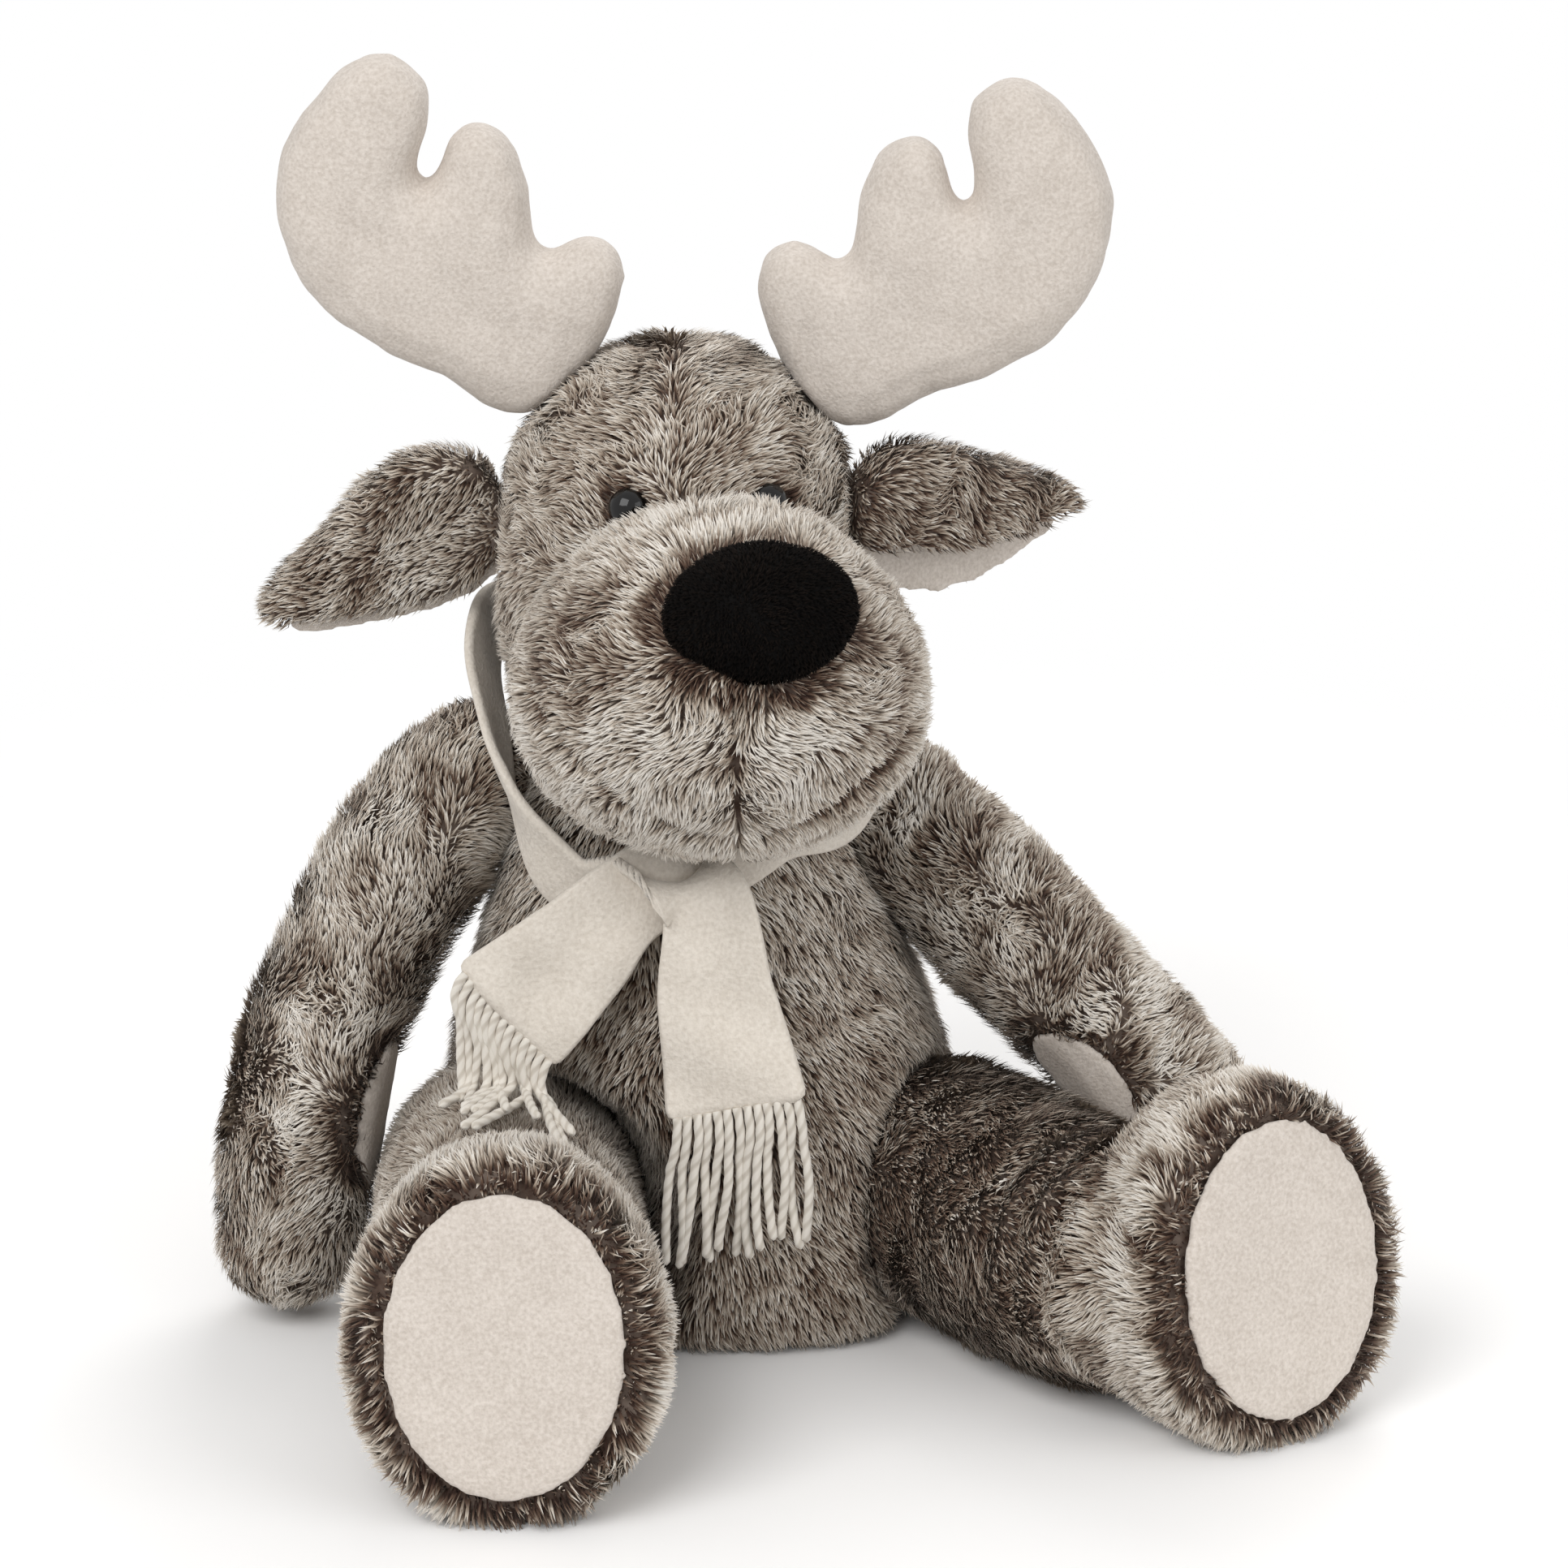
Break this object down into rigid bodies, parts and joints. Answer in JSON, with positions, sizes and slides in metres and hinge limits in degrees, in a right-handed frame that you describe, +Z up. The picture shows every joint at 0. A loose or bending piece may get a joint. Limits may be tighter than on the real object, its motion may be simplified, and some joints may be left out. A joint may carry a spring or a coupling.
{
  "type": "plush moose",
  "caption": "Seated plush moose with stuffed suede antlers, long muzzle, floppy limbs with pale soles and a fringed fleece scarf; head, ears, arms and legs turn at their seams.",
  "frame": {"origin": "on the surface that the toy sits on, under the middle of the seat", "axes": "+Z up, -Y the way the toy faces, so the toy's own right is -X"},
  "size_m": [0.4096, 0.3112, 0.445],
  "materials": {
    "plush_fur": "frosted long-pile plush",
    "dark_plush_fur": "frosted long-pile plush, darker",
    "pale_suede": "short-pile plush",
    "fibre_filling": "loose polyester fibre",
    "pellet_bag_cotton": "plain woven cotton",
    "black_nose_plush": "short-pile plush",
    "gloss_black_eye": "polished",
    "white_washer": "moulded",
    "scarf_fleece": "soft fleece",
    "wool_yarn": "twisted yarn"
  },
  "bodies": {
    "torso": {"torso_cover": "plush_fur", "torso_filling": "fibre_filling", "seat_pellet_bag": "pellet_bag_cotton", "scarf": "scarf_fleece", "fringe_right": "wool_yarn", "fringe_left": "wool_yarn"},
    "head": {"head_cover": "plush_fur", "head_filling": "fibre_filling", "muzzle_cover": "plush_fur", "muzzle_filling": "fibre_filling", "nose": "black_nose_plush", "eye_right": "gloss_black_eye", "eye_left": "gloss_black_eye", "eye_washer_right": "white_washer", "eye_washer_left": "white_washer", "antler_cover_right": "pale_suede", "antler_filling_right": "fibre_filling", "antler_cover_left": "pale_suede", "antler_filling_left": "fibre_filling"},
    "ear_right": {"ear_back_right": "dark_plush_fur", "ear_lining_right": "pale_suede"},
    "ear_left": {"ear_back_left": "dark_plush_fur", "ear_lining_left": "pale_suede"},
    "arm_right": {"arm_cover_right": "plush_fur", "arm_filling_right": "fibre_filling", "palm_pad_right": "pale_suede"},
    "arm_left": {"arm_cover_left": "plush_fur", "arm_filling_left": "fibre_filling", "palm_pad_left": "pale_suede"},
    "leg_right": {"leg_cover_right": "plush_fur", "foot_cover_right": "plush_fur", "leg_filling_right": "fibre_filling", "sole_right": "pale_suede"},
    "leg_left": {"leg_cover_left": "plush_fur", "foot_cover_left": "plush_fur", "leg_filling_left": "fibre_filling", "sole_left": "pale_suede"}
  },
  "joints": [
    {"name": "neck_turn", "type": "hinge", "parent": "torso", "child": "head", "pos_m": [-0.009, 0, 0.204], "axis": [0, 0, 1], "range_deg": [-20, 6]},
    {"name": "shoulder_right_lift", "type": "hinge", "parent": "torso", "child": "arm_right", "pos_m": [-0.08, 0.004, 0.187], "axis": [0, 1, 0], "range_deg": [0, 50]},
    {"name": "shoulder_left_lift", "type": "hinge", "parent": "torso", "child": "arm_left", "pos_m": [0.06, 0.004, 0.178], "axis": [0, -1, 0], "range_deg": [0, 50]},
    {"name": "hip_right_roll", "type": "hinge", "parent": "torso", "child": "leg_right", "pos_m": [-0.071, -0.032, 0.0445], "axis": [0.0696, -0.9951, 0.0698], "range_deg": [-20, 20]},
    {"name": "hip_left_roll", "type": "hinge", "parent": "torso", "child": "leg_left", "pos_m": [0.081, -0.032, 0.0445], "axis": [0.7054, -0.7054, 0.0698], "range_deg": [-20, 20]},
    {"name": "ear_right_flap", "type": "hinge", "parent": "head", "child": "ear_right", "pos_m": [-0.093, 0, 0.281], "axis": [-0.1392, 0.9903, 0], "range_deg": [-10, 30]},
    {"name": "ear_left_flap", "type": "hinge", "parent": "head", "child": "ear_left", "pos_m": [0.07, 0, 0.283], "axis": [0.5, -0.866, 0], "range_deg": [-22, 10]}
  ]
}
